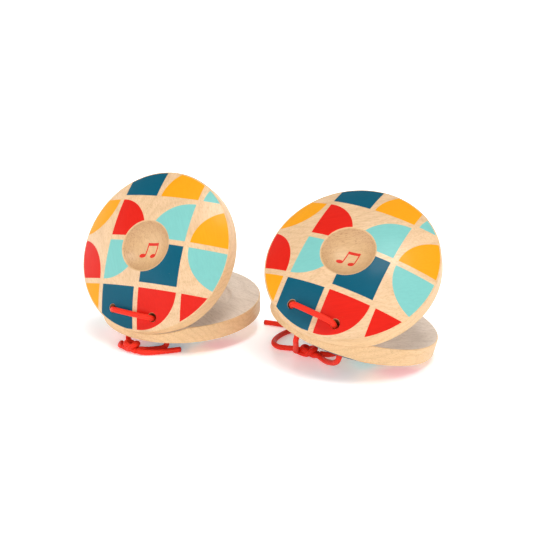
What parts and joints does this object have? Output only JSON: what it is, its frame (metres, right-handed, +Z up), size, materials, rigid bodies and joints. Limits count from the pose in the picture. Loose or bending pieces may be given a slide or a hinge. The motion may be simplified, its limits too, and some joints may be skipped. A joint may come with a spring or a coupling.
{
  "type": "finger castanets",
  "caption": "Toy finger castanets: round maple shells with colour-block print, finger dimples and red elastic cords that spring them open.",
  "frame": {"origin": "on the floor under the middle of the shells' box", "axes": "+Z up, +X from the left castanet to the right one, +Y away from the hinged side that faces the viewer"},
  "size_m": [0.1286, 0.089, 0.0607],
  "materials": {
    "maple": "satin",
    "elastic": "matte"
  },
  "bodies": {
    "left_base": {"left_lower_shell": "maple", "left_cord_strand_a": "elastic", "left_cord_strand_b": "elastic", "left_cord_knot": "elastic", "left_cord_end": "elastic", "left_cord_stub": "elastic"},
    "left_top": {"left_upper_shell": "maple", "left_cord_bridge": "elastic"},
    "right_base": {"right_lower_shell": "maple", "right_cord_strand_a": "elastic", "right_cord_strand_b": "elastic", "right_cord_knot": "elastic", "right_cord_loop": "elastic", "right_cord_tail": "elastic"},
    "right_top": {"right_upper_shell": "maple", "right_cord_bridge": "elastic"}
  },
  "joints": [
    {"name": "left_hinge", "type": "hinge", "parent": "left_base", "child": "left_top", "pos_m": [-0.03933, -0.00637, 0.0115], "axis": [-0.8878, 0.4578, 0.0473], "range_deg": [0, 55.3], "stiffness_Nm_per_rad": 0.02, "springref_deg": -17.19},
    {"name": "right_hinge", "type": "hinge", "parent": "right_base", "child": "right_top", "pos_m": [0.02313, -0.02997, 0.01728], "axis": [-0.8114, 0.5408, 0.2217], "range_deg": [-8.1, 47.2], "stiffness_Nm_per_rad": 0.02, "springref_deg": -6.88},
    {"name": "right_place", "type": "slide", "parent": "left_base", "child": "right_base", "axis": [1, 0, 0], "range_m": [0, 0.1]}
  ]
}
